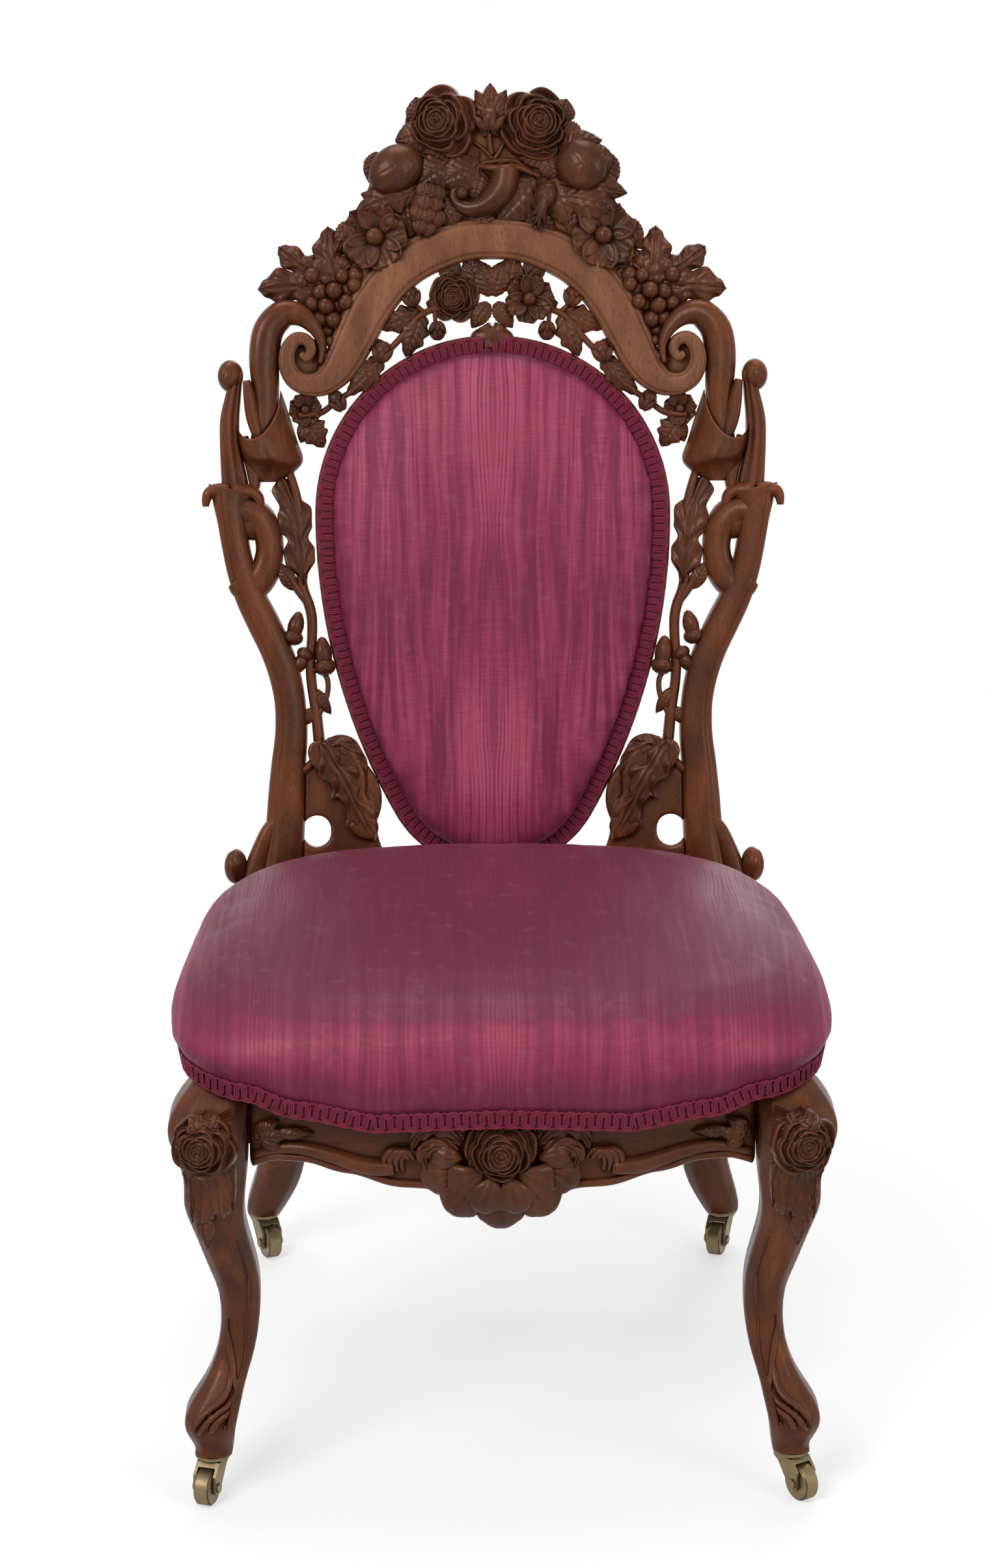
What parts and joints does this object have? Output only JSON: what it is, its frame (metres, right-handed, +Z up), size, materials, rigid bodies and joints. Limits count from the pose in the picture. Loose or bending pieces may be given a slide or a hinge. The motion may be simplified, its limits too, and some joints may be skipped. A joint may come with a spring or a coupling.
{
  "type": "upholstered side chair",
  "caption": "Carved slipper chair with an oval padded back in a pierced, bowed frame, a domed seat, curved legs and swivelling brass plate casters.",
  "frame": {"origin": "on the floor, under the middle of the chair's bounding box", "axes": "+Z is up, the chair faces -Y and +X is the sitter's left hand"},
  "size_m": [0.5326, 0.635, 1.0585],
  "materials": {
    "carved_rosewood": "dark red-brown laminated rosewood, french polished, worn brighter on the ridges",
    "secondary_wood": "plain unpolished secondary wood",
    "moire_silk": "crimson watered silk with a soft sheen",
    "gimp_braid": "woven scroll gimp, matt",
    "hair_stuffing": "stitched curled hair under a linen layer",
    "jute_webbing": "plain woven jute",
    "dust_cloth": "black cambric",
    "spring_steel": "dull drawn wire",
    "iron_screws": "dark iron",
    "brass_screws": "aged brass",
    "caster_brass": "cast brass, tarnished in the hollows and worn bright on the tread"
  },
  "bodies": {
    "chair": {"front_left_leg": "carved_rosewood", "front_right_leg": "carved_rosewood", "rear_left_leg": "carved_rosewood", "rear_right_leg": "carved_rosewood", "left_side_rail": "carved_rosewood", "right_side_rail": "carved_rosewood", "front_rail": "carved_rosewood", "rear_rail": "carved_rosewood", "apron_carving": "carved_rosewood", "medallion_frame": "carved_rosewood", "back_hoop": "carved_rosewood", "left_stile": "carved_rosewood", "right_stile": "carved_rosewood", "left_shoulder": "carved_rosewood", "right_shoulder": "carved_rosewood", "left_scroll_post": "carved_rosewood", "right_scroll_post": "carved_rosewood", "left_lower_bracket": "carved_rosewood", "right_lower_bracket": "carved_rosewood", "left_oak_branch": "carved_rosewood", "right_oak_branch": "carved_rosewood", "inner_garland": "carved_rosewood", "crest_board": "carved_rosewood", "crest_carving": "carved_rosewood", "left_grapes": "carved_rosewood", "right_grapes": "carved_rosewood", "corner_blocks": "secondary_wood", "leg_dowels": "secondary_wood", "seat_cover": "moire_silk", "medallion_cover": "moire_silk", "medallion_back_cover": "moire_silk", "seat_gimp": "gimp_braid", "medallion_gimp": "gimp_braid", "seat_stuffing": "hair_stuffing", "medallion_stuffing": "hair_stuffing", "seat_webbing": "jute_webbing", "seat_springs": "spring_steel", "dust_cover": "dust_cloth", "corner_block_screws": "iron_screws", "caster_pivot_pins": "caster_brass", "caster_thrust_washers": "caster_brass", "caster_plate_screws": "brass_screws", "front_left_caster_plate": "caster_brass", "front_right_caster_plate": "caster_brass", "rear_left_caster_plate": "caster_brass", "rear_right_caster_plate": "caster_brass"},
    "front_left_swivel_fork": {"front_left_caster_horn": "caster_brass", "front_left_axle": "caster_brass"},
    "front_left_roller": {"front_left_wheel": "caster_brass"},
    "front_right_swivel_fork": {"front_right_caster_horn": "caster_brass", "front_right_axle": "caster_brass"},
    "front_right_roller": {"front_right_wheel": "caster_brass"},
    "rear_left_swivel_fork": {"rear_left_caster_horn": "caster_brass", "rear_left_axle": "caster_brass"},
    "rear_left_roller": {"rear_left_wheel": "caster_brass"},
    "rear_right_swivel_fork": {"rear_right_caster_horn": "caster_brass", "rear_right_axle": "caster_brass"},
    "rear_right_roller": {"rear_right_wheel": "caster_brass"}
  },
  "joints": [
    {"name": "front_left_swivel", "type": "hinge", "parent": "chair", "child": "front_left_swivel_fork", "pos_m": [-0.234, -0.276, 0.032], "axis": [0, 0, 1], "continuous": true},
    {"name": "front_left_wheel_spin", "type": "hinge", "parent": "front_left_swivel_fork", "child": "front_left_roller", "pos_m": [-0.23856, -0.28924, 0.015], "axis": [0.9455, -0.3256, 0], "continuous": true},
    {"name": "front_right_swivel", "type": "hinge", "parent": "chair", "child": "front_right_swivel_fork", "pos_m": [0.234, -0.276, 0.032], "axis": [0, 0, 1], "continuous": true},
    {"name": "front_right_wheel_spin", "type": "hinge", "parent": "front_right_swivel_fork", "child": "front_right_roller", "pos_m": [0.24163, -0.28774, 0.015], "axis": [0.8387, 0.5446, 0], "continuous": true},
    {"name": "rear_left_swivel", "type": "hinge", "parent": "chair", "child": "rear_left_swivel_fork", "pos_m": [-0.212, 0.227, 0.032], "axis": [0, 0, 1], "continuous": true},
    {"name": "rear_left_wheel_spin", "type": "hinge", "parent": "rear_left_swivel_fork", "child": "rear_left_roller", "pos_m": [-0.20631, 0.21421, 0.015], "axis": [0.9135, 0.4067, 0], "continuous": true},
    {"name": "rear_right_swivel", "type": "hinge", "parent": "chair", "child": "rear_right_swivel_fork", "pos_m": [0.212, 0.227, 0.032], "axis": [0, 0, 1], "continuous": true},
    {"name": "rear_right_wheel_spin", "type": "hinge", "parent": "rear_right_swivel_fork", "child": "rear_right_roller", "pos_m": [0.20721, 0.21384, 0.015], "axis": [0.9397, -0.342, 0], "continuous": true}
  ]
}
